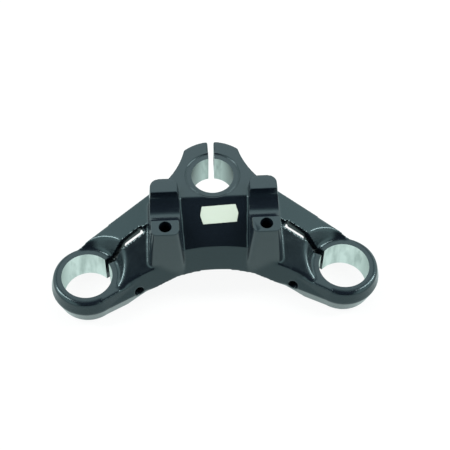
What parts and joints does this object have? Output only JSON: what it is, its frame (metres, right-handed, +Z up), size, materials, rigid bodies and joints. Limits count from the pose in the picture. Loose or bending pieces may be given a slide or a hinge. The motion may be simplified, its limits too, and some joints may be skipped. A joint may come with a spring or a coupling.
{
  "type": "motorcycle triple clamp",
  "caption": "Cast upper fork yoke with drooped arms, split stem and fork tube clamps, and raised handlebar saddles on integral risers.",
  "frame": {"origin": "on the stem bore's axis, at the underside of the head", "axes": "+Z up along the stem bore, +X along the line between the fork bores, -Y towards the fork bores and the front wheel"},
  "size_m": [0.2284, 0.1069, 0.0725],
  "materials": {
    "casting": "satin black paint on cast aluminium, bores left bare",
    "label": "plain matt label paper"
  },
  "bodies": {
    "root": {"yoke_casting": "casting", "stock_label": "label"}
  },
  "joints": []
}
